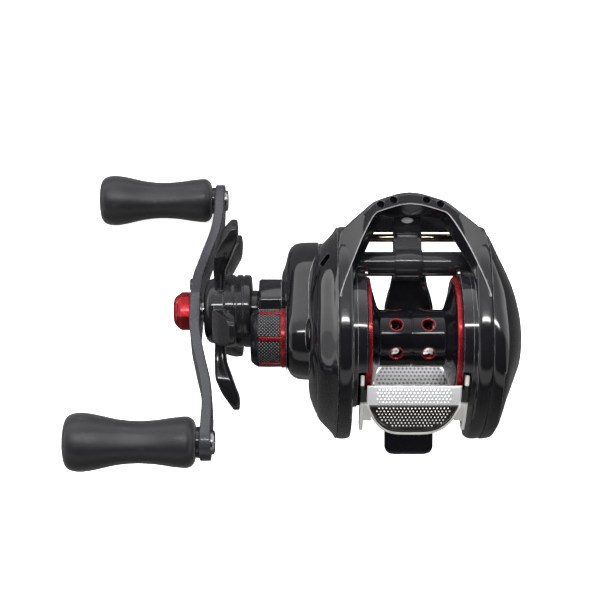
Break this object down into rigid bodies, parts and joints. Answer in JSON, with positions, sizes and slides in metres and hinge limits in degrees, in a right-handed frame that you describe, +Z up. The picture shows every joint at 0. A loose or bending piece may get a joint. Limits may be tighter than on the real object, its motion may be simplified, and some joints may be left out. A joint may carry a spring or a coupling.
{
  "type": "baitcasting reel",
  "caption": "Low-profile baitcasting reel with drilled spool, worm level wind, star drag, double-knob handle and thumb bar.",
  "frame": {"origin": "in the plane of the reel foot's seat face, straight below the spool axis", "axes": "+X along the spool axis to the palm side (handle on -X), +Y forward to the rod tip, +Z up away from the rod"},
  "size_m": [0.1233, 0.0848, 0.0825],
  "materials": {
    "black_knurl": "black anodised with a fine knurl",
    "brass": "machined brass",
    "cap_steel": "polished steel",
    "carbon": "woven carbon friction material",
    "carriage_black": "gloss black moulded plastic",
    "chrome": "polished chrome with raised dots",
    "deck_steel": "light grey satin with a dimple pattern",
    "dial_grey": "dark grey anodised",
    "foot_black": "gloss black painted foot",
    "gloss_black": "deep gloss black lacquer, clear coated",
    "gunmetal": "gunmetal blue-grey anodised",
    "knob_rubber": "matte soft-touch rubber",
    "magnet": "nickel plated",
    "red_anodised": "red anodised, satin gloss",
    "rod_brass": "polished champagne coloured rod",
    "satin_black": "gloss black painted aluminium frame",
    "seal_rubber": "nitrile rubber",
    "spool_black": "gloss black anodised",
    "star_black": "gloss black anodised",
    "steel": "turned and brushed"
  },
  "bodies": {
    "frame": {"frame": "satin_black", "reel_foot": "foot_black", "foot_rivets": "foot_black", "front_hood": "gloss_black", "gear_side_plate": "gloss_black", "gear_set_plate": "steel", "gear_case_cover": "gloss_black", "palm_side_plate": "gloss_black", "brake_housing": "satin_black", "deck_plate": "deck_steel", "case_screws": "brass", "spool_bearing_palm": "steel", "spool_bearing_handle": "steel", "pinion_bearing": "steel", "drive_bearing": "steel", "shaft_bearing": "steel", "one_way_bearing": "steel", "yoke_pins": "steel", "yoke_springs": "steel", "cap_seal": "seal_rubber", "worm_tube": "carriage_black", "worm_bushes": "brass", "guide_rod": "rod_brass"},
    "spool": {"spool": "spool_black", "spool_rims": "red_anodised", "spool_shaft": "steel", "spool_pin": "steel", "brake_rotor": "steel"},
    "brake_dial": {"brake_dial": "dial_grey"},
    "magnet_ring": {"magnet_ring": "magnet"},
    "tension_cap": {"tension_cap": "black_knurl", "tension_cap_trim": "red_anodised", "tension_shim": "brass"},
    "drive": {"drive_shaft": "steel", "main_gear": "brass", "drag_washers": "carbon", "drag_plates": "steel", "inner_tube": "steel", "neck_collar": "star_black", "spring_washers": "steel", "drive_cog": "brass", "handle_arm": "gunmetal", "handle_nut": "red_anodised", "nut_retainer": "star_black", "knob_shafts": "steel", "knob_washers": "star_black"},
    "star_drag": {"star_drag": "star_black", "star_nut": "brass"},
    "knob_front": {"knob_front": "knob_rubber", "knob_cap_front": "cap_steel"},
    "knob_rear": {"knob_rear": "knob_rubber", "knob_cap_rear": "cap_steel"},
    "yoke": {"yoke": "steel"},
    "pinion": {"pinion": "brass"},
    "clutch_cam": {"clutch_cam": "steel"},
    "thumb_bar": {"thumb_bar": "chrome"},
    "worm": {"worm_shaft": "steel", "worm_gear": "brass"},
    "carriage": {"levelwind_carriage": "carriage_black", "line_guide": "cap_steel"}
  },
  "joints": [
    {"name": "handle_turn", "type": "hinge", "parent": "frame", "child": "drive", "pos_m": [0, 0.0074, 0.00582], "axis": [1, 0, 0], "continuous": true},
    {"name": "spool_spin", "type": "hinge", "parent": "frame", "child": "spool", "pos_m": [0, 0, 0.0225], "axis": [1, 0, 0], "continuous": true},
    {"name": "worm_spin", "type": "hinge", "parent": "frame", "child": "worm", "pos_m": [0, 0.02082, 0.01782], "axis": [1, 0, 0], "continuous": true},
    {"name": "thumb_press", "type": "slide", "parent": "frame", "child": "thumb_bar", "axis": [0, -0.6428, -0.766], "range_m": [0, 0.0045], "stiffness_N_per_m": 250, "springref_m": -0.002},
    {"name": "yoke_shift", "type": "slide", "parent": "frame", "child": "yoke", "axis": [-1, 0, 0], "range_m": [0, 0.0018], "deforming": ["yoke_springs"]},
    {"name": "pinion_spin", "type": "hinge", "parent": "yoke", "child": "pinion", "pos_m": [0, 0, 0.0225], "axis": [1, 0, 0], "continuous": true},
    {"name": "cam_turn", "type": "hinge", "parent": "frame", "child": "clutch_cam", "pos_m": [0, 0, 0.0225], "axis": [1, 0, 0], "range_deg": [0, 20]},
    {"name": "star_turn", "type": "hinge", "parent": "drive", "child": "star_drag", "pos_m": [0, 0.0074, 0.00582], "axis": [1, 0, 0], "range_deg": [-180, 180]},
    {"name": "knob_front_spin", "type": "hinge", "parent": "drive", "child": "knob_front", "pos_m": [0, 0.04193, -0.02753], "axis": [1, 0, 0], "continuous": true},
    {"name": "knob_rear_spin", "type": "hinge", "parent": "drive", "child": "knob_rear", "pos_m": [0, -0.02713, 0.03916], "axis": [1, 0, 0], "continuous": true},
    {"name": "tension_turn", "type": "hinge", "parent": "frame", "child": "tension_cap", "pos_m": [0, 0, 0.0225], "axis": [1, 0, 0], "range_deg": [-180, 180]},
    {"name": "brake_dial_turn", "type": "hinge", "parent": "frame", "child": "brake_dial", "pos_m": [0, 0, 0.0225], "axis": [1, 0, 0], "range_deg": [0, 270]},
    {"name": "magnet_shift", "type": "slide", "parent": "frame", "child": "magnet_ring", "axis": [-1, 0, 0], "range_m": [0, 0.0015]},
    {"name": "levelwind_slide", "type": "slide", "parent": "frame", "child": "carriage", "axis": [1, 0, 0], "range_m": [-0.008, 0.008]}
  ],
  "couplings": [
    {"joint": "spool_spin", "follows": "handle_turn", "ratio": -6.3},
    {"joint": "pinion_spin", "follows": "handle_turn", "ratio": -6.3},
    {"joint": "worm_spin", "follows": "handle_turn", "ratio": -2},
    {"joint": "yoke_shift", "follows": "thumb_press", "ratio": 0.4},
    {"joint": "cam_turn", "follows": "thumb_press", "rad_per_m": 77.493},
    {"joint": "brake_dial_turn", "follows": "magnet_shift", "rad_per_m": 3138.4}
  ]
}
